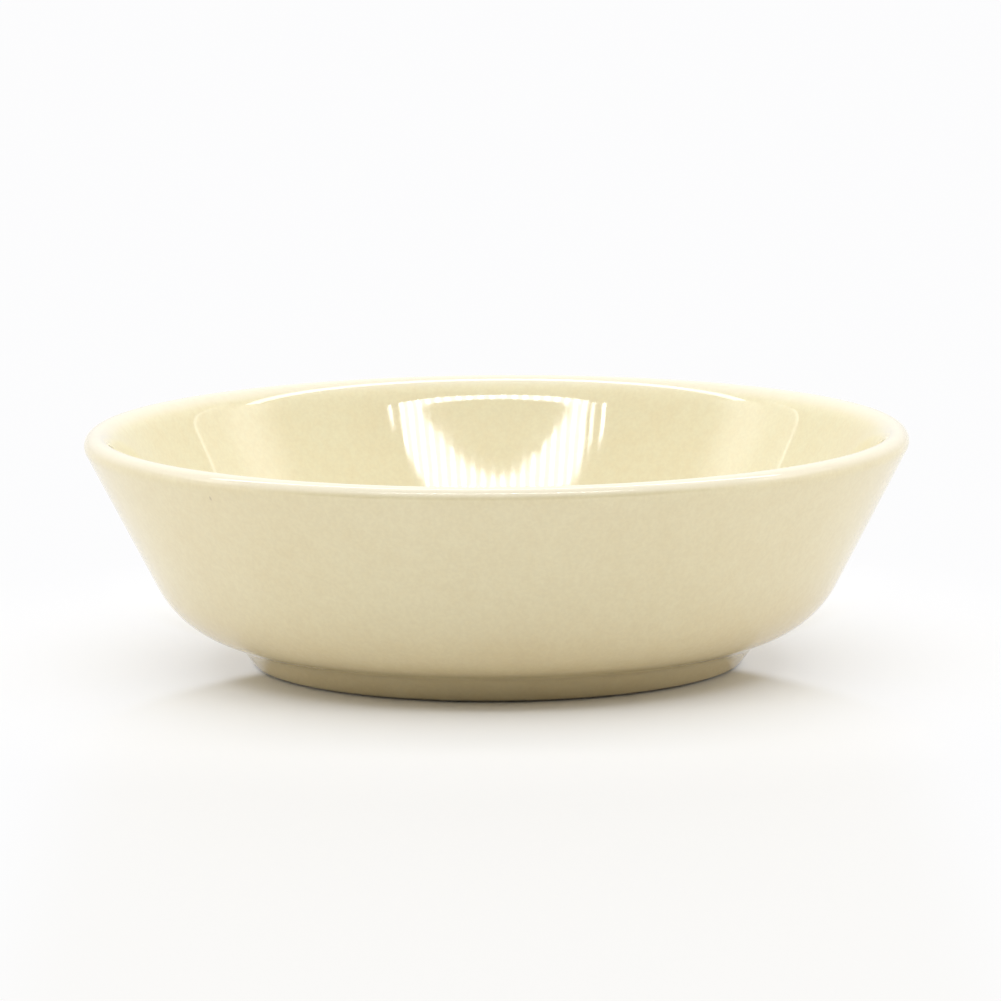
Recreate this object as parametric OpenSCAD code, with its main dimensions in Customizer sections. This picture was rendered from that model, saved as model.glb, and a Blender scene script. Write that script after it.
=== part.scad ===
// Soy sauce dish: one turned stoneware body with a flared wall, a deep round well and a foot ring,
// under a fired glaze that leaves only the standing ring bare.
// Every size is that of the finished, glazed dish. The table is at z = 0 and the dish turns about z.

/* [Dish] */
// Diameter across the outside of the rim
rim_d = 90; // [76:1:110]
// Height from the table to the top of the rim
dish_h = 25.6; // [20:0.2:34]
// Thickness of the wall
wall_t = 2.9; // [2.4:0.1:4]
// How much thinner the round lip is than the wall
lip_thinning = 0.3; // [0.2:0.1:1]
// Radius that eases the inside of the wall into the lip
lip_ease_r = 6; // [4:0.5:10]

/* [Inside] */
// Radius of the turn from the wall to the floor, inside
well_r = 14; // [10:0.5:20]
// Thickness of the floor above the top of the foot ring
floor_t = 2.5; // [2.2:0.1:4]

/* [Underside] */
// Diameter at which the lines of the wall and the underside would meet, outside the turn between them
belly_d = 70.3; // [60:0.1:80]
// Radius of the turn from the wall to the underside, outside
belly_r = 11.2; // [6:0.2:14]
// Angle at which the underside rises outward from the foot, in degrees
under_angle = 18.4; // [12:0.2:24]
// Radius of the hollow turn from the underside to the foot
cove_r = 4.5; // [1:0.1:6]

/* [Foot ring] */
// Diameter of the foot ring at the table
foot_d = 53.4; // [44:0.2:62]
// Height of the foot ring
foot_h = 2.7; // [1.8:0.1:4]
// Width of the foot ring at the table
foot_w = 3.2; // [2.6:0.1:5]
// Angle of the foot's outer side from upright, in degrees
foot_angle = 36; // [20:1:40]
// Angle of the foot's inner side from upright, in degrees
ring_angle = 30; // [20:1:40]
// Radius of the bare standing edges
foot_edge_r = 0.4; // [0.2:0.1:0.5]
// Depth of the recess inside the foot ring
recess_depth = 2; // [1.4:0.1:3]
// Radius of the hollow turn inside the recess
recess_r = 1; // [0.4:0.1:1.4]

/* [Glaze] */
// Thickness of the fired glaze
glaze_t = 0.3; // [0.2:0.05:0.5]
// Height above the table at which the glaze ends
glaze_line_h = 0.3; // [0.3:0.05:0.8]

/* [Hidden] */
// Largest distance between a round stretch of the profile and its chords
arc_sag = 0.002;
// Part of the underside's length that the hollow turn above the foot may take up
cove_share = 0.25;
$fn = 180;

// Unit vector at an angle, in degrees from +r towards +z
function toward(a) = [cos(a), sin(a)];

// Meeting point of two lines, each given by the direction that it faces and its distance from the origin
function meet(a1, d1, a2, d2) =
    [d1 * sin(a2) - d2 * sin(a1), d2 * cos(a1) - d1 * cos(a2)] / sin(a2 - a1);

// Points of an arc, close enough together for arc_sag
function arc(c, r, from, to) =
    let (n = ceil(abs(to - from) / (2 * acos(1 - arc_sag / r))))
    [for (i = [0:n]) c + r * toward(from + (to - from) * i / n)];

// The same points in the other order
function backwards(points) = [for (i = [len(points) - 1:-1:0]) points[i]];

// Directions in which the foot, the underside and the level faces look
foot_faces = -foot_angle;
ring_faces = 180 + ring_angle;
under_faces = under_angle - 90;
floor_faces = 90;
table_faces = -90;

// Foot and underside: straight stretches that meet at the top of the foot ring
foot_top = [foot_d / 2 + foot_h * tan(foot_angle), foot_h];
foot_at = foot_top * toward(foot_faces);
under_at = foot_top * toward(under_faces);
belly_corner = [belly_d / 2, foot_h + (belly_d / 2 - foot_top.x) * tan(under_angle)];

// Wall: it runs from the belly's corner to the outside of the round lip
lip_r = (wall_t - lip_thinning) / 2;
lip_c = [rim_d / 2 - lip_r, dish_h - lip_r];
flare = lip_c - belly_corner;
wall_faces = -atan2(flare.x, flare.y) - asin(lip_r / norm(flare));
wall_at = lip_c * toward(wall_faces) + lip_r;
inside_faces = 180 + wall_faces;
inside_at = wall_t - wall_at;

// Lip: a larger round eases the inside of the wall into it
ease_from = inside_faces - acos(1 - lip_thinning / (lip_ease_r - lip_r));
ease_c = lip_c - (lip_ease_r - lip_r) * toward(ease_from);

// Well: the inside turn, on a flat floor
floor_z = foot_h + floor_t;
well_c = meet(inside_faces, inside_at + well_r, floor_faces, floor_z + well_r);

// Recess: the ring's inner side and the ceiling over the table
ring_at = [foot_d / 2 - foot_w, 0] * toward(ring_faces);
recess_c = meet(ring_faces, ring_at + recess_r, table_faces, recess_r - recess_depth);

// Ends of the glaze on the foot's outer and inner sides
outer_end = meet(foot_faces, foot_at, table_faces, -glaze_line_h);
inner_end = meet(ring_faces, ring_at, table_faces, -glaze_line_h);

// Belly and cove: both turns fit on the underside between them, and the cove on the foot's glazed side
under_len = norm(belly_corner - foot_top);
cove_len = min(cove_share * under_len, norm(foot_top - outer_end));
belly_fit_r = min(belly_r, (1 - cove_share) * under_len / tan((wall_faces - under_faces) / 2));
cove_fit_r = min(cove_r, cove_len / tan((foot_faces - under_faces) / 2));
belly_c = meet(wall_faces, wall_at - belly_fit_r, under_faces, under_at - belly_fit_r);
cove_c = meet(under_faces, under_at + cove_fit_r, foot_faces, foot_at + cove_fit_r);

// Dish from the middle of the floor over the lip to the outer end of the glaze, moved into the clay by depth
function shown_side(depth) = concat(
    [[0, floor_z - depth]],
    arc(well_c, well_r + depth, -90, wall_faces),
    arc(ease_c, lip_ease_r - depth, inside_faces, ease_from),
    arc(lip_c, lip_r - depth, ease_from, wall_faces),
    arc(belly_c, belly_fit_r - depth, wall_faces, under_faces),
    arc(cove_c, cove_fit_r + depth, under_faces + 180, foot_faces + 180),
    [outer_end - depth * toward(foot_faces)]);

// Recess from the inner end of the glaze to the middle of its ceiling, moved into the clay by depth
function base_side(depth) = concat(
    [inner_end - depth * toward(ring_faces)],
    arc(recess_c, recess_r + depth, ring_faces - 180, 90),
    [[0, recess_depth + depth]]);

// Bare standing ring between the two ends of the glaze
function standing_side() = concat(
    arc(meet(foot_faces, foot_at - glaze_t - foot_edge_r, table_faces, -foot_edge_r),
        foot_edge_r, foot_faces, table_faces),
    arc(meet(ring_faces, ring_at - glaze_t - foot_edge_r, table_faces, -foot_edge_r),
        foot_edge_r, table_faces, ring_faces - 360));

// Rounded end of the glaze at a point of its outer face
function glaze_bead(end, from, to) = arc(end - toward(from) * glaze_t / 2, glaze_t / 2, from, to);

// Turned body: wall, floor and foot ring in one piece of clay
module clay_body() {
    color("#efe6d6")
    rotate_extrude()
    polygon(concat(shown_side(glaze_t), standing_side(), base_side(glaze_t)));
}

// Glaze over the inside, the lip, the wall and the outer side of the foot, in one coat
module glaze_coat() {
    color("#e3d7b3")
    rotate_extrude()
    polygon(concat(
        shown_side(0),
        glaze_bead(outer_end, foot_faces, foot_faces - 180),
        backwards(shown_side(glaze_t))));
}

// Glaze in the recess, cut off from the coat by the bare standing ring
module base_glaze() {
    color("#d9cca6")
    rotate_extrude()
    polygon(concat(
        backwards(base_side(0)),
        glaze_bead(inner_end, ring_faces, ring_faces + 180),
        base_side(glaze_t)));
}

clay_body();
glaze_coat();
base_glaze();
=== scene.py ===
# %% [markdown]
# # A glazed soy sauce dish
# The dish is one turned body of stoneware under a fired glaze. The CAD model holds its sizes and its
# three solids: the clay, the coat of glaze that shows, and the glaze in the recess under the foot. This
# lesson loads those solids as a fixed frame and makes a smooth, finished piece for each of them.

# %% Load the frame
import math

import bmesh
import bpy
from mathutils import Matrix, Vector


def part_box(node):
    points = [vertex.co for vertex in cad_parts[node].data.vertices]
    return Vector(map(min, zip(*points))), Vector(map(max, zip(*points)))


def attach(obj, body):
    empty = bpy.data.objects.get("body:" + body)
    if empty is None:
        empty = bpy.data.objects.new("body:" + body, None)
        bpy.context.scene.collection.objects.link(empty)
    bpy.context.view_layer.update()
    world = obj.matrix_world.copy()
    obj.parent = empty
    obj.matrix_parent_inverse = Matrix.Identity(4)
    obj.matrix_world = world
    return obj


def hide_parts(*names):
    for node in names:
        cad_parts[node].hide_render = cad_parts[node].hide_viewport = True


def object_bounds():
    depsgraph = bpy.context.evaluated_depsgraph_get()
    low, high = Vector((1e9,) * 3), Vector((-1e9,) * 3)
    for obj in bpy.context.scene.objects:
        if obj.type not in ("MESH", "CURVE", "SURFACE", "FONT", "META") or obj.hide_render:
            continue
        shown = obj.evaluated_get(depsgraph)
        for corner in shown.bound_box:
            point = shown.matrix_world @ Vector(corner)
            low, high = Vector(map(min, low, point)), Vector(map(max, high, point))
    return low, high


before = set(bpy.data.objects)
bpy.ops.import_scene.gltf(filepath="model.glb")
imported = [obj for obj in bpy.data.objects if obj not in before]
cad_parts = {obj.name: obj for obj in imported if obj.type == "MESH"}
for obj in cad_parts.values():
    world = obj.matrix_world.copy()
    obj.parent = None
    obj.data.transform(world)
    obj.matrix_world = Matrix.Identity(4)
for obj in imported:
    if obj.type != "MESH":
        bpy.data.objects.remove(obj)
cad_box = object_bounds()
for node_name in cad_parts:
    low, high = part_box(node_name)
    print(node_name, "reaches", [round(1000 * value, 2) for value in (*low, *high)], "mm")

# %% [markdown]
# ## The sizes
# A potter works from a few sizes and lets the tool draw the rest. The rim and the height are read from
# the frame. The others are the sizes that the CAD model is drawn from, in millimetres and degrees,
# because a box around a solid doesn't tell the radius of a turn inside it. Only the inside of the wall
# is drawn more finely here: it is hollow by a hair, and two arcs ease it into the lip. A ruler would
# miss both, but a glossy glaze shows them in every reflection.

# %% Name the sizes
MM = 0.001
rim_r = cad_box[1][0] / MM
dish_h = cad_box[1][2] / MM
wall_t = 2.9
lip_thinning = 0.3
well_r = 14.0
floor_t = 2.5
belly_at_r = 35.15
belly_r = 11.2
under_angle = 18.4
cove_r = 4.5
foot_r = 26.7
foot_h = 2.7
foot_w = 3.2
foot_angle = 36.0
ring_angle = 30.0
foot_edge_r = 0.4
recess_depth = 2.0
recess_r = 1.0
glaze_t = 0.3
glaze_line_h = 0.3

hollow_r = 223.0
hollow_z = 17.5
inside_lean = 27.4  # lean of the inside wall at the height hollow_z
long_ease_r = 22.0  # the easing that leaves the wall
lip_ease_r = 4.5  # the easing that reaches the lip
ease_change = 151.0  # direction in which both easings face where they meet
print("rim radius", round(rim_r, 3), "mm, height", round(dish_h, 3), "mm")

# %% [markdown]
# ## Lines and arcs of the profile
# The profile is half of the dish cut through its axis, as a template for a potter's wheel would be. It
# could be drawn as a free curve. But every straight stretch is a line that faces some direction at some
# distance, and every turn is an arc that touches its two neighbours, so a few lines of geometry give a
# surface with no kink for a reflection to break at.

# %% Draw lines and arcs
ARC_SAG = 0.0015
STRAIGHT_STEP = 0.7


def toward(angle):
    """Unit vector at an angle, in degrees from the radius towards up."""
    return Vector((math.cos(math.radians(angle)), math.sin(math.radians(angle))))


def meet(face_1, at_1, face_2, at_2):
    """Meeting point of two lines, each given by the way it faces and its distance from the origin."""
    n_1, n_2 = toward(face_1), toward(face_2)
    return Vector((at_1 * n_2.y - at_2 * n_1.y, at_2 * n_1.x - at_1 * n_2.x)) / n_1.cross(n_2)


def arc(centre, radius, start, end):
    """Points of an arc, close enough together for ARC_SAG and STRAIGHT_STEP."""
    step = min(2 * math.acos(1 - ARC_SAG / radius), STRAIGHT_STEP / radius)
    count = math.ceil(math.radians(abs(end - start)) / step)
    return [centre + radius * toward(start + (end - start) * i / count) for i in range(count + 1)]


quarter = arc(Vector((0, 0)), well_r, 0, 90)
print("an arc as large as the well has", len(quarter), "points in a quarter turn")

# %% [markdown]
# ## The outside: foot, underside and wall
# The foot comes first, then the underside that rises from it, then the wall from the belly's corner to
# the lip, which is a small full round. Knowing the centres of the turns once is enough: the clay's
# surface has the same centres, with every radius changed by the glaze's thickness. The shape could also
# be read off the CAD mesh, but its facets would show in the gloss.

# %% Place the outside
foot_faces, ring_faces = -foot_angle, 180 + ring_angle
under_faces, floor_faces, table_faces = under_angle - 90, 90, -90
foot_top = Vector((foot_r + foot_h * math.tan(math.radians(foot_angle)), foot_h))
foot_at = foot_top.dot(toward(foot_faces))
under_at = foot_top.dot(toward(under_faces))
belly_rise = (belly_at_r - foot_top.x) * math.tan(math.radians(under_angle))
belly_corner = Vector((belly_at_r, foot_h + belly_rise))

lip_r = (wall_t - lip_thinning) / 2
lip_c = Vector((rim_r - lip_r, dish_h - lip_r))
flare = lip_c - belly_corner
wall_angle = math.degrees(math.atan2(flare.x, flare.y) + math.asin(lip_r / flare.length))
wall_faces = -wall_angle
wall_at = lip_c.dot(toward(wall_faces)) + lip_r
belly_c = meet(wall_faces, wall_at - belly_r, under_faces, under_at - belly_r)
cove_c = meet(under_faces, under_at + cove_r, foot_faces, foot_at + cove_r)

ring_at = Vector((foot_r - foot_w, 0)).dot(toward(ring_faces))
recess_c = meet(ring_faces, ring_at + recess_r, table_faces, recess_r - recess_depth)
outer_end = meet(foot_faces, foot_at, table_faces, -glaze_line_h)
inner_end = meet(ring_faces, ring_at, table_faces, -glaze_line_h)
print("the wall leans", round(wall_angle, 2), "degrees from upright")

# %% [markdown]
# ## The inside: well, wall and easing
# Inside, a round turn leads from the flat floor into the wall. The wall is one very large arc, and two
# arcs ease it into the lip. Where two arcs touch, their centres and the touching point lie on one line,
# and every centre below is worked out from that. A free curve could be drawn instead, but plain arcs
# can each be changed alone and still touch.

# %% Place the inside


def lower_meet(centre_1, reach_1, centre_2, reach_2):
    """Lower of the two points that lie at these reaches from two centres."""
    gap = (centre_2 - centre_1).length
    along = (gap**2 + reach_1**2 - reach_2**2) / (2 * gap)
    aside = math.sqrt(reach_1**2 - along**2)
    line = (centre_2 - centre_1) / gap
    across = Vector((-line.y, line.x))
    both = [centre_1 + along * line + side * across for side in (-aside, aside)]
    return min(both, key=lambda point: point.y)


def direction(start, end):
    """Direction from one point to another, in degrees from 0 to 360."""
    return math.degrees(math.atan2(end.y - start.y, end.x - start.x)) % 360


inside_faces = 180 - inside_lean
inside_at = lip_c.dot(toward(inside_faces)) + wall_t - lip_r
hollow_c = meet(inside_faces, inside_at, floor_faces, hollow_z) + hollow_r * toward(inside_faces)
ease_step = (long_ease_r - lip_ease_r) * toward(ease_change)
long_ease_c = lower_meet(
    lip_c - ease_step, lip_ease_r - lip_r, hollow_c, hollow_r + long_ease_r
)
lip_ease_c = long_ease_c + ease_step
floor_z = foot_h + floor_t
well_reach = math.sqrt((hollow_r - well_r) ** 2 - (floor_z + well_r - hollow_c.y) ** 2)
well_c = Vector((hollow_c.x + well_reach, floor_z + well_r))
ease_from, ease_to = direction(long_ease_c, hollow_c), direction(lip_ease_c, lip_c)
well_to = direction(hollow_c, well_c) - 360
print("the flat floor is", round(2 * well_c.x, 1), "mm wide")

# %% [markdown]
# ## Three outlines from one profile
# On the real dish the glaze is a glassy skin about a third of a millimetre thick, and it ends in a
# rounded bead just above the table, where the potter wiped the foot clean. The Solidify modifier could
# thicken a bare surface too, but it would leave a square edge there. Each outline below starts and ends
# on the dish's axis, so that turning it gives a closed solid with no hole in the middle.

# %% Outline the clay and the two areas of glaze


def shown_side(depth):
    """Floor's middle, over the lip, to the glaze's end on the foot, moved into the clay by depth."""
    return [
        Vector((0, floor_z - depth)),
        *arc(well_c, well_r + depth, -90, well_to),
        *arc(hollow_c, hollow_r + depth, well_to, ease_from - 180),
        *arc(long_ease_c, long_ease_r - depth, ease_from, ease_change),
        *arc(lip_ease_c, lip_ease_r - depth, ease_change, ease_to),
        *arc(lip_c, lip_r - depth, ease_to, wall_faces),
        *arc(belly_c, belly_r - depth, wall_faces, under_faces),
        *arc(cove_c, cove_r + depth, under_faces + 180, foot_faces + 180),
        outer_end - depth * toward(foot_faces),
    ]


def base_side(depth):
    """Glaze's end inside the foot ring to the middle of the recess, moved into the clay by depth."""
    return [
        inner_end - depth * toward(ring_faces),
        *arc(recess_c, recess_r + depth, ring_faces - 180, 90),
        Vector((0, recess_depth + depth)),
    ]


def standing_side():
    """The bare ring between the two ends of the glaze."""
    outer_c = meet(foot_faces, foot_at - glaze_t - foot_edge_r, table_faces, -foot_edge_r)
    inner_c = meet(ring_faces, ring_at - glaze_t - foot_edge_r, table_faces, -foot_edge_r)
    return [
        *arc(outer_c, foot_edge_r, foot_faces, table_faces),
        *arc(inner_c, foot_edge_r, table_faces, ring_faces - 360),
    ]


def glaze_bead(end, start_angle, end_angle):
    """Rounded end of the glaze, at a point of its outer face."""
    return arc(end - toward(start_angle) * glaze_t / 2, glaze_t / 2, start_angle, end_angle)


clay_outline = [*shown_side(glaze_t), *standing_side(), *base_side(glaze_t)]
coat_outline = [
    *shown_side(0),
    *glaze_bead(outer_end, foot_faces, foot_faces - 180),
    *reversed(shown_side(glaze_t)),
]
recess_outline = [
    *reversed(base_side(0)),
    *glaze_bead(inner_end, ring_faces, ring_faces + 180),
    *base_side(glaze_t),
]
counts = [len(outline) for outline in (clay_outline, coat_outline, recess_outline)]
print("points of the clay, the coat and the recess:", counts)

# %% [markdown]
# ## Sums of sockets
# A glaze is mixed from masks, and masks are easier to read as sums than as lists of links. The class
# below wraps an output socket, so that `1 - mask` or `noise * 0.2` adds the Math node itself.

# %% Wrap sockets


class Wire:
    """An output socket. Arithmetic on it adds Math nodes to its tree."""

    def __init__(self, socket):
        self.socket = socket

    def out(self, name):
        """Another output of the same node."""
        return Wire(find_socket(self.socket.node.outputs, name))

    def sum_up(self, operation, *values):
        """A Math node in this wire's tree."""
        return Sheet(self.socket.id_data).math(operation, *values)

    def __add__(self, other):
        return self.sum_up("ADD", self, other)

    def __radd__(self, other):
        return self.sum_up("ADD", other, self)

    def __sub__(self, other):
        return self.sum_up("SUBTRACT", self, other)

    def __rsub__(self, other):
        return self.sum_up("SUBTRACT", other, self)

    def __mul__(self, other):
        return self.sum_up("MULTIPLY", self, other)

    def __rmul__(self, other):
        return self.sum_up("MULTIPLY", other, self)

    def __truediv__(self, other):
        return self.sum_up("DIVIDE", self, other)


def find_socket(sockets, key):
    """A socket by its place, or by its identifier or name."""
    if isinstance(key, int):
        return sockets[key]
    for socket in sockets:
        if socket.identifier == key:
            return socket
    return sockets[key]


def plug(socket, value):
    """Links a wire to a socket, or sets the socket's own value."""
    if isinstance(value, Wire):
        socket.id_data.links.new(value.socket, socket)
    else:
        socket.default_value = value


print("wires can be added, taken away, multiplied and divided")

# %% [markdown]
# ## One way to add nodes
# The next class wraps a node tree. Its `node` adds any node: the settings first, because they can
# change the sockets, then the values or links of the sockets. The other methods are short names for
# nodes that are needed often. Links could be drawn one by one in the editor, but a script has to find
# every socket again each time it runs, and one method does that in one place.

# %% Wrap node trees


class Sheet:
    """A node tree to draw on."""

    def __init__(self, tree):
        self.tree = tree

    def node(self, kind, settings=None, sockets=None):
        """Adds a node and returns its first output, or None if it has none."""
        node = self.tree.nodes.new(kind)
        for name, value in (settings or {}).items():
            setattr(node, name, value)
        for key, value in (sockets or {}).items():
            plug(find_socket(node.inputs, key), value)
        outputs = [socket for socket in node.outputs if socket.enabled]
        return Wire(outputs[0]) if outputs else None

    def math(self, operation, *values):
        """A sum that has no sign in Python, such as a sine."""
        return self.node("ShaderNodeMath", {"operation": operation}, dict(enumerate(values)))

    def vector(self, operation, *values):
        """The same for vectors."""
        return self.node("ShaderNodeVectorMath", {"operation": operation}, dict(enumerate(values)))

    def length(self, vector):
        """A vector's length."""
        return self.vector("LENGTH", vector).out("Value")

    def parts(self, vector):
        """A vector's X, Y and Z, as three outputs."""
        return self.node("ShaderNodeSeparateXYZ", None, {"Vector": vector})

    def ramp(self, value, low, high):
        """0 below low, 1 above high, and a smooth step between them."""
        return self.node(
            "ShaderNodeMapRange",
            {"interpolation_type": "SMOOTHSTEP"},
            {"Value": value, "From Min": low, "From Max": high},
        )

    def blend(self, factor, first, second):
        """Mixes two colours."""
        return self.node(
            "ShaderNodeMix",
            {"data_type": "RGBA"},
            {"Factor_Float": factor, "A_Color": first, "B_Color": second},
        )


print("a sheet can add", [name for name in vars(Sheet) if not name.startswith("_")])

# %% [markdown]
# ## A potter's wheel in Geometry Nodes
# A dish is a profile turned about an axis, which is a rule and so a job for Geometry Nodes. The Screw
# modifier could turn it too, but a tree shows every step: a flat grid with one row for each point of
# the outline is rolled up, each row to the radius and height of its point. Merging by distance closes
# the seam and draws the rows on the axis together into single points.

# %% Build the wheel
WHEEL_INPUTS = {
    "Outline": "NodeSocketGeometry",
    "Steps": "NodeSocketInt",
    "Merge Distance": "NodeSocketFloat",
    "Finish": "NodeSocketMaterial",
}
GRID_SIZE = 1.0


def make_wheel():
    tree = bpy.data.node_groups.new("potters_wheel", "GeometryNodeTree")
    for name, kind in WHEEL_INPUTS.items():
        tree.interface.new_socket(name, in_out="INPUT", socket_type=kind)
    tree.interface.new_socket("Turned", in_out="OUTPUT", socket_type="NodeSocketGeometry")
    sheet = Sheet(tree)
    outline = sheet.node("NodeGroupInput")
    rows = sheet.node(
        "GeometryNodeAttributeDomainSize", {"component": "MESH"}, {"Geometry": outline}
    )
    grid_sockets = {
        "Vertices X": outline.out("Steps") + 1,
        "Vertices Y": rows,
        "Size X": GRID_SIZE,
        "Size Y": GRID_SIZE,
    }
    grid = sheet.node("GeometryNodeMeshGrid", None, grid_sockets)
    place = sheet.node("GeometryNodeInputPosition")
    across = sheet.parts(place)
    row = (across.out("Y") + GRID_SIZE / 2) * (rows - 1)
    point = sheet.node(
        "GeometryNodeSampleIndex",
        {"data_type": "FLOAT_VECTOR", "domain": "POINT"},
        {"Geometry": outline, "Value": place, "Index": sheet.math("ROUND", row)},
    )
    profile = sheet.parts(point)
    angle = (across.out("X") + GRID_SIZE / 2) * math.tau
    radius = profile.out("X")
    turned_sockets = {
        "X": radius * sheet.math("COSINE", angle),
        "Y": radius * sheet.math("SINE", angle),
        "Z": profile.out("Z"),
    }
    turned = sheet.node("ShaderNodeCombineXYZ", None, turned_sockets)
    rolled = sheet.node("GeometryNodeSetPosition", None, {"Geometry": grid, "Position": turned})
    closed = sheet.node(
        "GeometryNodeMergeByDistance",
        None,
        {"Geometry": rolled, "Distance": outline.out("Merge Distance")},
    )
    smooth = sheet.node("GeometryNodeSetShadeSmooth", None, {"Geometry": closed})
    plain = sheet.node("GeometryNodeRealizeInstances", None, {"Geometry": smooth})
    finished = sheet.node(
        "GeometryNodeSetMaterial", None, {"Geometry": plain, "Material": outline.out("Finish")}
    )
    sheet.node("NodeGroupOutput", None, {"Turned": finished})
    return tree


wheel = make_wheel()
print("the wheel has", len(wheel.nodes), "nodes")

# %% [markdown]
# ## Turn a piece
# The outline becomes a mesh of edges, with points added along its long straight stretches, because
# smooth shading blends the normals of neighbouring faces and would otherwise bend the whole wall's
# reflection. The wheel turns it, and the evaluated result is kept as a plain mesh, with no modifier
# left on it. Its faces are then turned outwards: the order of an outline's points decides which way a
# rolled grid faces.

# %% Turn outlines into meshes
MERGE_MM = 0.001


def fill_straights(points):
    """The same outline with points added along its long straight stretches and doubles left out."""
    filled = [points[0]]
    for point in points[1:]:
        length = (point - filled[-1]).length
        if length < ARC_SAG:
            continue
        count = math.ceil(length / STRAIGHT_STEP)
        start = filled[-1]
        filled += [start.lerp(point, i / count) for i in range(1, count + 1)]
    return filled


def set_input(modifier, name, value):
    """Sets a modifier's input by the identifier of the socket of that name."""
    for item in modifier.node_group.interface.items_tree:
        if item.name == name and item.in_out == "INPUT":
            modifier[item.identifier] = value


def face_outwards(mesh):
    """Turns the faces of a closed mesh outwards and counts the edges that don't close."""
    faces = bmesh.new()
    faces.from_mesh(mesh)
    bmesh.ops.recalc_face_normals(faces, faces=faces.faces)
    open_edges = sum(not edge.is_manifold for edge in faces.edges)
    faces.to_mesh(mesh)
    faces.free()
    return open_edges


def turn(name, outline, steps, finish):
    """A closed piece, turned from an outline in millimetres about the dish's axis."""
    points = [(point.x * MM, 0, point.y * MM) for point in fill_straights(outline)]
    edges = [(i, i + 1) for i in range(len(points) - 1)]
    drawn = bpy.data.meshes.new(name + "_outline")
    drawn.from_pydata(points, edges, [])
    piece = bpy.data.objects.new(name, drawn)
    bpy.context.scene.collection.objects.link(piece)
    modifier = piece.modifiers.new("wheel", "NODES")
    modifier.node_group = wheel
    set_input(modifier, "Steps", steps)
    set_input(modifier, "Merge Distance", MERGE_MM * MM)
    set_input(modifier, "Finish", finish)
    evaluated = piece.evaluated_get(bpy.context.evaluated_depsgraph_get())
    turned = bpy.data.meshes.new_from_object(evaluated)
    piece.modifiers.remove(modifier)
    piece.data = turned
    bpy.data.meshes.remove(drawn)
    turned.name = name
    open_edges = face_outwards(turned)
    turned.calc_loop_triangles()
    print(name, "has", len(turned.loop_triangles), "triangles and", open_edges, "open edges")
    return piece


print("points closer than", MERGE_MM, "mm are merged")

# %% [markdown]
# ## Where the glaze lies
# The glaze's tone is set by where a point lies. The top of the lip is painted paler, as a painted
# highlight along the rim. Low on the dish, and most of all on the foot under the belly, it is painted
# darker and deeper in tone, as painted shade. The inside is painted paler and cooler than the outside,
# against the warm light that bounces round inside the bowl. Such masks could be painted by hand. But
# the dish is round, so a point's height and radius tell where it lies, and the line through the middle
# of the wall parts the inside from the outside.

# %% Tell the places apart
WALL_BLUR = 0.5  # millimetres to both sides of the wall's middle
FLOOR_DEPTHS = (0.3, 0.05)  # millimetres below the floor
LIP_DEPTHS = (1.3, 0.2)  # millimetres below the top of the lip
PAINTED_SHADE_FEET = 5  # painted shade reaches up this many heights of the foot


def glaze_places(sheet, place):
    """Masks for the inside of the dish, for painted shade low down and for a painted highlight on the
    lip.
    """
    height = sheet.parts(place).out("Z")
    radius = sheet.length(sheet.vector("MULTIPLY", place, (1.0, 1.0, 0.0)))
    lean = math.radians(wall_angle)
    middle = (wall_at - wall_t / 2) / math.cos(lean)
    past_wall = radius - height * math.tan(lean)
    outside = sheet.ramp(past_wall, (middle - WALL_BLUR) * MM, (middle + WALL_BLUR) * MM)
    above = sheet.ramp(height, *((floor_z - depth) * MM for depth in FLOOR_DEPTHS))
    # painted shade: a darker, deeper tone from the foot's height up to five times it
    painted_low_shade = 1 - sheet.ramp(height, foot_h * MM, PAINTED_SHADE_FEET * foot_h * MM)
    # painted highlight: the top of the lip is blended paler
    highlight_painted = sheet.ramp(height, *((dish_h - depth) * MM for depth in LIP_DEPTHS))
    return above * (1 - outside), painted_low_shade, highlight_painted


print("the glaze is thin over the last", LIP_DEPTHS[0], "mm of the lip")

# %% [markdown]
# ## Clouds and grain
# No glaze is quite even. It drifts in tone over centimetres, clouds over millimetres, and is mottled
# and grainy below that, where it melted unevenly. A picture laid on the dish could carry this, but
# noise on Object coordinates needs no picture, has no seam and stays in place when the dish is turned.

# %% Cloud the glaze
CLOUDS = {  # lumps in a metre, detail, and the values of the noise between which a cloud appears
    "drift": (45, 2, 0.35, 0.7),
    "cloud": (260, 4, 0.35, 0.75),
    "mottle": (1000, 3, 0.3, 0.7),
    "grain": (2400, 2, 0.3, 0.7),
}


def noise(sheet, place, scale, detail=2):
    """Soft noise from 0 to 1, with scale lumps in a metre."""
    sockets = {"Vector": place, "Scale": scale, "Detail": detail}
    return sheet.node("ShaderNodeTexNoise", None, sockets)


def glaze_clouds(sheet, place):
    """A mask for each of the clouds, by its name."""
    return {
        name: sheet.ramp(noise(sheet, place, scale, detail), low, high)
        for name, (scale, detail, low, high) in CLOUDS.items()
    }


print("clouds in the glaze, from wide to fine:", list(CLOUDS))

# %% [markdown]
# ## Specks of iron
# Stoneware clay holds grains of iron that melt into the glaze as dark specks. A texture of cells
# scatters them: each cell has its own colour, and only the few cells whose colour passes a limit get a
# speck. One speck under the lip was drawn out as the glaze ran, so it gets a place of its own, and
# distances from it are squeezed along the height.

# %% Speck the glaze
SPECK_CELLS = 110
SPECK_CHANCE = (0.97, 0.98)
SPECK_REACH = (0.015, 0.035)  # as shares of a cell
SPECK_SHARE = 0.6
LONE_PLACE = (-0.0299, -0.03295, 0.0230)
LONE_SQUEEZE = (1.0, 1.0, 0.35)
LONE_REACH = (0.00006, 0.00022)
LONE_SHARE = 0.4


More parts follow.
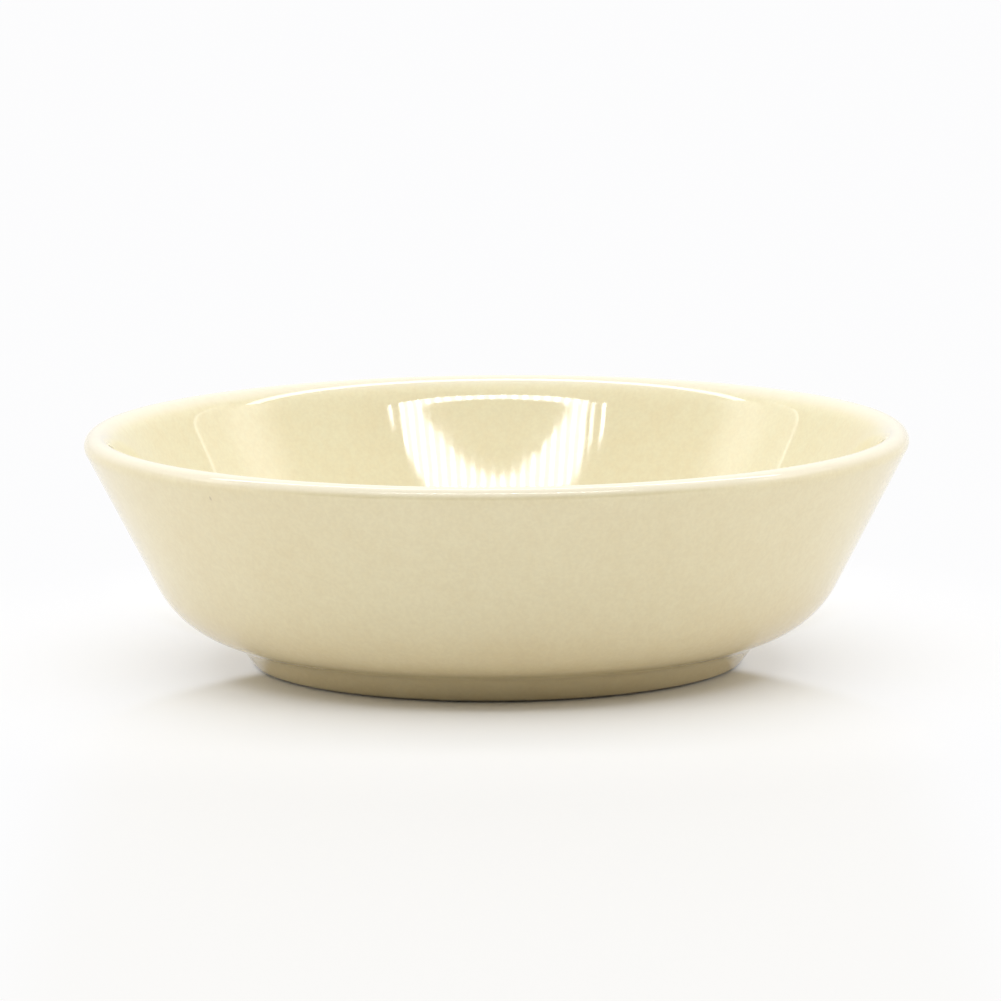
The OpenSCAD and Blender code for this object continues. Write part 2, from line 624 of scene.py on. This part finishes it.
def glaze_specks(sheet, place):
    """Shares of iron in the scattered specks and in the one that was drawn out."""
    cell = sheet.node("ShaderNodeTexVoronoi", None, {"Vector": place, "Scale": SPECK_CELLS})
    chance = sheet.node("ShaderNodeSeparateColor", None, {"Color": cell.out("Color")})
    near = 1 - sheet.ramp(cell.out("Distance"), *SPECK_REACH)
    off = sheet.vector("SUBTRACT", place, LONE_PLACE)
    reach = sheet.length(sheet.vector("MULTIPLY", off, LONE_SQUEEZE))
    lone = 1 - sheet.ramp(reach, *LONE_REACH)
    return sheet.ramp(chance, *SPECK_CHANCE) * near * SPECK_SHARE, lone * LONE_SHARE


print("cells with a speck:", round(100 * (1 - SPECK_CHANCE[1])), "in a hundred")

# %% [markdown]
# ## The glaze
# The glaze is glossy, opaque and sand-coloured. The masks above blend its base tone with a paler and
# cooler one inside, against the light bounced there, with a deeper one for its clouds and for painted
# shade low down, with a paler one for a painted highlight on the lip, and with iron. The gloss comes
# from a low roughness, and the glaze bends light more than window glass does, so its reflections are
# strong. A clear coat over a matt base could give the gloss too, but a glaze is coloured glass through
# and through.
# A very shallow bump keeps its reflections from being as straight as in plastic.

# %% Mix the glaze
SAND = (0.851, 0.764, 0.500, 1)
# painted offset: the inside is paler and cooler than the outside, against the warm light bounced inside
# the bowl
SAND_INSIDE = (0.830, 0.780, 0.533, 1)
# the clouds' deeper tone, also used as painted shade low on the dish
SAND_DEEP_AND_SHADE = (0.770, 0.635, 0.368, 1)
# painted highlight: a paler tone for the top of the lip
SAND_PAINTED_HIGHLIGHT = (0.852, 0.802, 0.690, 1)
IRON = (0.36, 0.27, 0.17, 1)
DRIFT_SHARE = 0.15
CLOUD_SHARE = 0.1
MOTTLE_SHARE = 0.16
GRAIN_SHARE = 0.06
# share of painted shade low on the dish
PAINTED_SHADE_SHARE = 0.7
# share of the painted highlight on the lip
PAINTED_HIGHLIGHT_SHARE = 0.6
GLAZE_ROUGHNESS = 0.035
CLOUD_ROUGHNESS = 0.03
GLAZE_IOR = 1.75
RIPPLE_SCALE = 120
RIPPLE = {"Strength": 0.2, "Distance": 0.00006}


def new_material(name):
    """An empty material, the sheet of its nodes and the place on the piece."""
    material = bpy.data.materials.new(name)
    material.use_nodes = True
    material.node_tree.nodes.clear()
    sheet = Sheet(material.node_tree)
    return material, sheet, sheet.node("ShaderNodeTexCoord").out("Object")


def mix_glaze():
    material, sheet, place = new_material("sand_glaze")
    inside, painted_low_shade, highlight_painted = glaze_places(sheet, place)
    clouds = glaze_clouds(sheet, place)
    scattered, lone = glaze_specks(sheet, place)
    # tone deepened by the clouds and by painted shade low down
    deep_and_shade = clouds["drift"] * DRIFT_SHARE + clouds["cloud"] * CLOUD_SHARE
    deep_and_shade = deep_and_shade + clouds["mottle"] * MOTTLE_SHARE + painted_low_shade * PAINTED_SHADE_SHARE
    # the inside painted paler and cooler, against its warm bounced light
    tone = sheet.blend(inside, SAND, SAND_INSIDE)
    tone = sheet.blend(deep_and_shade, tone, SAND_DEEP_AND_SHADE)
    tone = sheet.blend(clouds["grain"] * GRAIN_SHARE, tone, IRON)
    # painted highlight along the lip
    tone = sheet.blend(highlight_painted * PAINTED_HIGHLIGHT_SHARE, tone, SAND_PAINTED_HIGHLIGHT)
    tone = sheet.blend(scattered, tone, IRON)
    tone = sheet.blend(lone, tone, IRON)
    ripple = noise(sheet, place, RIPPLE_SCALE)
    glaze_sockets = {
        "Base Color": tone,
        "Roughness": GLAZE_ROUGHNESS + CLOUD_ROUGHNESS * clouds["cloud"],
        "IOR": GLAZE_IOR,
        "Normal": sheet.node("ShaderNodeBump", None, {**RIPPLE, "Height": ripple}),
    }
    shader = sheet.node("ShaderNodeBsdfPrincipled", None, glaze_sockets)
    sheet.node("ShaderNodeOutputMaterial", None, {"Surface": shader})
    return material


sand_glaze = mix_glaze()
print("the glaze has", len(sand_glaze.node_tree.nodes), "nodes")

# %% [markdown]
# ## The bare clay
# Only the standing ring shows bare clay: a warm, pale stoneware with a fine grain, greyer in patches
# and a little smoother over its lowest 0.12 mm, where it meets the table. It is matt, so its roughness
# is high, and the grain is a bump as well as a change of tone, because a bump alone would vanish in
# soft light.

# %% Mix the clay
CLAY = (0.74, 0.66, 0.54, 1)
CLAY_DARK = (0.58, 0.49, 0.39, 1)
# grey for patches on the lowest band of the ring, where it meets the table
BOTTOM_GREY = (0.50, 0.46, 0.42, 1)
CLAY_GRAIN = 2600
CLAY_PATCH = 180
CLAY_DETAIL = 3
GRAIN_LIMITS = (0.4, 0.8)
PATCH_LIMITS = (0.3, 0.75)
CLAY_GRAIN_SHARE = 0.5
CLAY_PATCH_SHARE = 0.3
BOTTOM_GREY_SHARE = 0.7
BOTTOM_BAND_H = 0.12  # millimetres above the table
CLAY_ROUGHNESS = 0.9
BOTTOM_SMOOTHER = 0.2
CLAY_BUMP = {"Strength": 0.5, "Distance": 0.00005}


def mix_clay():
    material, sheet, place = new_material("bare_stoneware")
    height = sheet.parts(place).out("Z")
    grain = noise(sheet, place, CLAY_GRAIN, CLAY_DETAIL)
    patch = sheet.ramp(noise(sheet, place, CLAY_PATCH, CLAY_DETAIL), *PATCH_LIMITS)
    dark = sheet.ramp(grain, *GRAIN_LIMITS) * CLAY_GRAIN_SHARE + patch * CLAY_PATCH_SHARE
    # the lowest band of the ring, where it meets the table
    bottom_band = 1 - sheet.ramp(height, 0, BOTTOM_BAND_H * MM)
    tone = sheet.blend(dark, CLAY, CLAY_DARK)
    tone = sheet.blend(bottom_band * patch * BOTTOM_GREY_SHARE, tone, BOTTOM_GREY)
    clay_sockets = {
        "Base Color": tone,
        "Roughness": CLAY_ROUGHNESS - BOTTOM_SMOOTHER * bottom_band,
        "Normal": sheet.node("ShaderNodeBump", None, {**CLAY_BUMP, "Height": grain}),
    }
    shader = sheet.node("ShaderNodeBsdfPrincipled", None, clay_sockets)
    sheet.node("ShaderNodeOutputMaterial", None, {"Surface": shader})
    return material


bare_stoneware = mix_clay()
print("the clay has", len(bare_stoneware.node_tree.nodes), "nodes")

# %% [markdown]
# ## The three pieces
# Each turned piece stands for the CAD solid of the same outline, so that solid is hidden and the piece
# rides on the dish's one body. They could be one mesh with two materials, but then the glaze couldn't
# be changed alone. The coat shows most and gets the most steps round the axis.

# %% Turn the pieces
COAT_STEPS = 240
HIDDEN_STEPS = 192
pieces = (
    ("stoneware_body", clay_outline, HIDDEN_STEPS, bare_stoneware, "clay_body", "bare_clay"),
    ("sand_glaze_coat", coat_outline, COAT_STEPS, sand_glaze, "glaze_coat", "sand_glaze"),
    ("recess_glaze", recess_outline, HIDDEN_STEPS, sand_glaze, "base_glaze", "sand_glaze"),
)
for name, outline, steps, finish, cad_node, slot in pieces:
    piece = turn(name, outline, steps, finish)
    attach(piece, "root")
    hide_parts(cad_node)

# %% [markdown]
# ## The table
# The dish stands on a pale table that runs out of sight. Near the dish the table is plain matt white
# with a faint sheen, so it keeps the shadow. Further out it turns into an even white for the eye and
# for reflections only, which takes no light from the lamps and throws none on the dish. That white
# starts already 30 mm from the axis, inside the dish's shadow, so it paints light over the shadow's
# outer part, and in a wedge to both sides of the foot it is painted light in the shadow right up to the
# foot. In front of the dish the white is a little warmer, a painted reflection of the dish. More light
# would also make the table white, but it would bleach the dish.

# %% Choose the whites
TABLE_WHITE = (0.86, 0.86, 0.86, 1)
BACKDROP_WHITE = (0.976, 0.976, 0.984, 1)
# painted reflection: the dish's warm colour on the white before it
FRONT_WARM_REFLECTION = (0.955, 0.948, 0.934, 1)
FRONT_Y = (-0.05, -0.02)
FRONT_X = (0.036, 0.050)
# the even white starts inside the dish's shadow and paints light over its outer part
WHITE_RADII = (0.030, 0.085)
WHITE_RISE = 0.5
# painted light in the shadow on both sides of the foot
PAINTED_SIDE_LIGHT_SHARE = 0.46
BESIDE_SPREAD = 7  # how fast the wedges widen outwards
BESIDE_TURN = (0.93, 0.985)
BESIDE_RADII = (0.0262, 0.0270)


def seen_directly(sheet):
    """1 for what the eye sees straight, in a mirror or through glass, 0 for light that only bounces."""
    path = sheet.node("ShaderNodeLightPath")
    seen = path.out("Is Camera Ray") + path.out("Is Glossy Ray") + path.out("Is Transmission Ray")
    return sheet.math("MINIMUM", seen, 1.0)


def table_whites(sheet, place):
    """The even white's colour, and its share at each place of the table."""
    out = sheet.length(place)
    across = sheet.parts(place)
    reach = sheet.math("ABSOLUTE", across.out("X"))
    # painted reflection: where the white before the dish is warmer
    front = (1 - sheet.ramp(across.out("Y"), *FRONT_Y)) * (1 - sheet.ramp(reach, *FRONT_X))
    # even white, which also paints light over the outer part of the dish's shadow
    far = sheet.math("POWER", sheet.ramp(out, *WHITE_RADII), WHITE_RISE)
    # painted light in the shadow at the foot's sides, in two wedges
    sideways = reach / out + BESIDE_SPREAD * (out - foot_r * MM)
    painted_side_light = PAINTED_SIDE_LIGHT_SHARE * sheet.ramp(sideways, *BESIDE_TURN) * sheet.ramp(out, *BESIDE_RADII)
    share = (far + painted_side_light - far * painted_side_light) * seen_directly(sheet)
    return sheet.blend(front, BACKDROP_WHITE, FRONT_WARM_REFLECTION), share


print("the table is all white beyond", 1000 * WHITE_RADII[1], "mm")

# %% [markdown] ## Lay the table One large square is enough, because all that changes over it is in
# its material.

# %% Lay the table
TABLE_HALF = 4.0
TABLE_SHEEN = 0.08
SHEEN_ROUGHNESS = 0.35
SHEEN_WHITE = (1, 1, 1, 1)


def mix_table():
    material, sheet, place = new_material("white_table")
    colour, share = table_whites(sheet, place)
    matt = sheet.node("ShaderNodeBsdfDiffuse", None, {"Color": TABLE_WHITE})
    even = sheet.node("ShaderNodeEmission", None, {"Color": colour, "Strength": 1.0})
    shader = sheet.node("ShaderNodeMixShader", None, {0: share, 1: matt, 2: even})
    sheen_sockets = {"Color": SHEEN_WHITE, "Roughness": SHEEN_ROUGHNESS}
    gloss = sheet.node("ShaderNodeBsdfGlossy", None, sheen_sockets)
    shader = sheet.node("ShaderNodeMixShader", None, {0: TABLE_SHEEN, 1: shader, 2: gloss})
    sheet.node("ShaderNodeOutputMaterial", None, {"Surface": shader})
    return material


mesh = bpy.data.meshes.new("table")
signs = ((-1, -1), (1, -1), (1, 1), (-1, 1))
mesh.from_pydata([(x * TABLE_HALF, y * TABLE_HALF, 0) for x, y in signs], [], [(0, 1, 2, 3)])
mesh.materials.append(mix_table())
table = bpy.data.objects.new("table", mesh)
bpy.context.scene.collection.objects.link(table)
print("the table is", 2 * TABLE_HALF, "m wide")

# %% [markdown]
# ## The light
# The dish stands in a white light tent that is open at the front, where the camera is. The tent is the
# world's colour: its roof and walls glow, the left side a little more than the right, each side has a
# sheet that is lit through up to a bright seam, and the open front is dark, which is why the front of
# the foot looks dark. The tent could be a mesh of white cloth, but what comes from far away is a
# direction and not a place, so the world's shader only asks which way a ray goes. Up, back and to the
# side are shares of a ray of length 1.

# %% Light the tent
TENT_WHITE = (1.0, 0.995, 0.985, 1)
WALL_GLOW = 0.80
ROOF_GLOW = 1.17
ROOF_UP = (0.0, 0.7)
OPENING_GLOW = 0.02
OPENING_AHEAD = (0.3, 0.7)
OPENING_UP = (0.38, 0.72)
LOW_GLOW = 0.60
LOW_UP = (0.1, 0.3)
LOW_TURN = (0.0, 0.6)
LEFT_LEAN = 0.25
BACK_GLOW = 0.05
BACK_UP = (0.1, 0.4)
BACK_BEHIND = (0.2, 0.6)
SHEET_GLOW = 1.2
SHEET_BOTTOM = (0.32, 0.40)
SHEET_TOP = (0.60, 0.70)
SHEET_START = (-0.22, 0.06)
SHEET_FADE = (0.10, 0.30)
SHEET_FADED = 0.65
SEAM_GLOW = 1.3
SEAM_START = (0.445, 0.46)
SEAM_END = (0.47, 0.485)


def tent_glow(sheet, way):
    """How bright the tent is, for a ray that goes some way."""
    aside, back, up = way.out("X"), way.out("Y"), way.out("Z")
    roof = sheet.ramp(up, *ROOF_UP)
    opening = sheet.ramp(0 - back, *OPENING_AHEAD) * (1 - sheet.ramp(up, *OPENING_UP))
    closed = WALL_GLOW * (1 - roof) + ROOF_GLOW * roof
    tent = closed * (1 - opening) + OPENING_GLOW * opening
    turned = sheet.math("ABSOLUTE", back)
    low_sides = (1 - sheet.ramp(up, *LOW_UP)) * (1 - sheet.ramp(turned, *LOW_TURN))
    low_back = (1 - sheet.ramp(up, *BACK_UP)) * sheet.ramp(back, *BACK_BEHIND)
    low = LOW_GLOW * low_sides * (1 - LEFT_LEAN * aside) + BACK_GLOW * low_back
    around = back / sheet.math("ABSOLUTE", aside)
    level = sheet.ramp(up, *SHEET_BOTTOM) * (1 - sheet.ramp(up, *SHEET_TOP))
    level = level * (1 - sheet.ramp(around, *SEAM_END))
    faded = 1 - SHEET_FADED * sheet.ramp(around, *SHEET_FADE)
    lit = SHEET_GLOW * sheet.ramp(around, *SHEET_START) * faded
    return tent + low + (lit + SEAM_GLOW * sheet.ramp(around, *SEAM_START)) * level


def light_tent():
    world = bpy.data.worlds.new("tent")
    world.use_nodes = True
    world.node_tree.nodes.clear()
    sheet = Sheet(world.node_tree)
    way = sheet.parts(sheet.node("ShaderNodeTexCoord").out("Generated"))
    glow_sockets = {"Color": TENT_WHITE, "Strength": tent_glow(sheet, way)}
    surround = sheet.node("ShaderNodeBackground", None, glow_sockets)
    sheet.node("ShaderNodeOutputWorld", None, {"Surface": surround})
    bpy.context.scene.world = world
    return world


tent = light_tent()
print("the tent has", len(tent.node_tree.nodes), "nodes")

# %% [markdown]
# ## The lamps
# Real lamps hang where their own shape shows in the glaze. A row of small lamps on a strip hangs over
# the tent's opening, with a brighter last lamp and one more lamp apart from it at each end. The hollow
# inside wall draws each lamp out to a fine streak and the row to a loop. It also swaps left and right,
# as a hollow mirror does. A long, narrow panel under the roof becomes the white line along the back of
# the lip. A lamp's power is worked out from how bright its face should look, because a larger lamp of
# the same power looks dimmer.

# %% Hang the lamps
LAMP_COUNT = 20
LAMP_PITCH = 0.0144
LAMP_SIZE = (0.006, 0.016)
LAMP_LIGHT = 7.6
BRIGHT_LIGHT = 12.0
ROW_PLACE = Vector((-0.0018, -0.1666, 0.2520))
LEFT_PLACE = Vector((-0.157, -0.1636, 0.2546))
RIGHT_PLACE = Vector((0.155, -0.1666, 0.2520))
STRIP_SIZE = (0.263, 0.016)
STRIP_LIGHT = 5.4
STRIP_PLACE = Vector((0.0012, -0.1670, 0.2525))
PANEL_SIZE = (0.67, 0.04)
PANEL_LIGHT = 4.6
PANEL_PLACE = Vector((0, 0.081, 0.336))
LAMPS_AIM = Vector((0, 0.040, 0.018))


def hang_lamp(name, place, size, light):
    """A flat lamp, tipped towards LAMPS_AIM, whose face looks as bright as light, where 1 is white."""
    lamp = bpy.data.lights.new(name, "AREA")
    lamp.shape = "RECTANGLE"
    lamp.size, lamp.size_y = size
    lamp.energy = light * math.pi * size[0] * size[1]
    hung = bpy.data.objects.new(name, lamp)
    away = place - LAMPS_AIM
    hung.rotation_euler = Vector((0, away.y, away.z)).to_track_quat("Z", "Y").to_euler()
    hung.location = place
    bpy.context.scene.collection.objects.link(hung)


row_lights = [LAMP_LIGHT] * (LAMP_COUNT - 1) + [BRIGHT_LIGHT]
for i, light in enumerate(row_lights):
    along = Vector(((i - (LAMP_COUNT - 1) / 2) * LAMP_PITCH, 0, 0))
    hang_lamp(f"row_lamp_{i}", ROW_PLACE + along, LAMP_SIZE, light)
hang_lamp("apart_lamp_0", LEFT_PLACE, LAMP_SIZE, BRIGHT_LIGHT)
hang_lamp("apart_lamp_1", RIGHT_PLACE, LAMP_SIZE, BRIGHT_LIGHT)
hang_lamp("row_strip", STRIP_PLACE, STRIP_SIZE, STRIP_LIGHT)
hang_lamp("roof_panel", PANEL_PLACE, PANEL_SIZE, PANEL_LIGHT)

# %% [markdown]
# ## The camera
# The camera looks down by a little under nine degrees from some 72 cm away, through a long lens, so the
# dish shows its wall, its foot and a narrow ellipse of its inside. The values come from fitting the
# ellipses of the rim and of the foot in a photograph. The picture leans by less than half a degree, so
# the camera rolls by that much.

# %% Set up the camera
CAMERA_BACK = 0.72123
CAMERA_UP = 0.12690
LOOK_DOWN = 8.62
LOOK_ASIDE = 0.03
ROLL = 0.41
FOCAL_PX = 6672.2
FRAME_PX = 1001
SENSOR_MM = 36.0

lens = bpy.data.cameras.new("camera")
lens.sensor_width = SENSOR_MM
lens.lens = FOCAL_PX * SENSOR_MM / FRAME_PX
camera = bpy.data.objects.new("camera", lens)
turned_to = Matrix.Rotation(-math.radians(LOOK_ASIDE), 3, "Z")
tipped = Matrix.Rotation(math.radians(90 - LOOK_DOWN), 3, "X")
rolled = Matrix.Rotation(-math.radians(ROLL), 3, "Z")
camera.rotation_euler = (turned_to @ tipped @ rolled).to_euler()
camera.location = (0, -CAMERA_BACK, CAMERA_UP)
bpy.context.scene.collection.objects.link(camera)
bpy.context.scene.camera = camera
bpy.context.scene.view_settings.view_transform = "Standard"
print("lens", round(lens.lens, 1), "mm")

# %% [markdown]
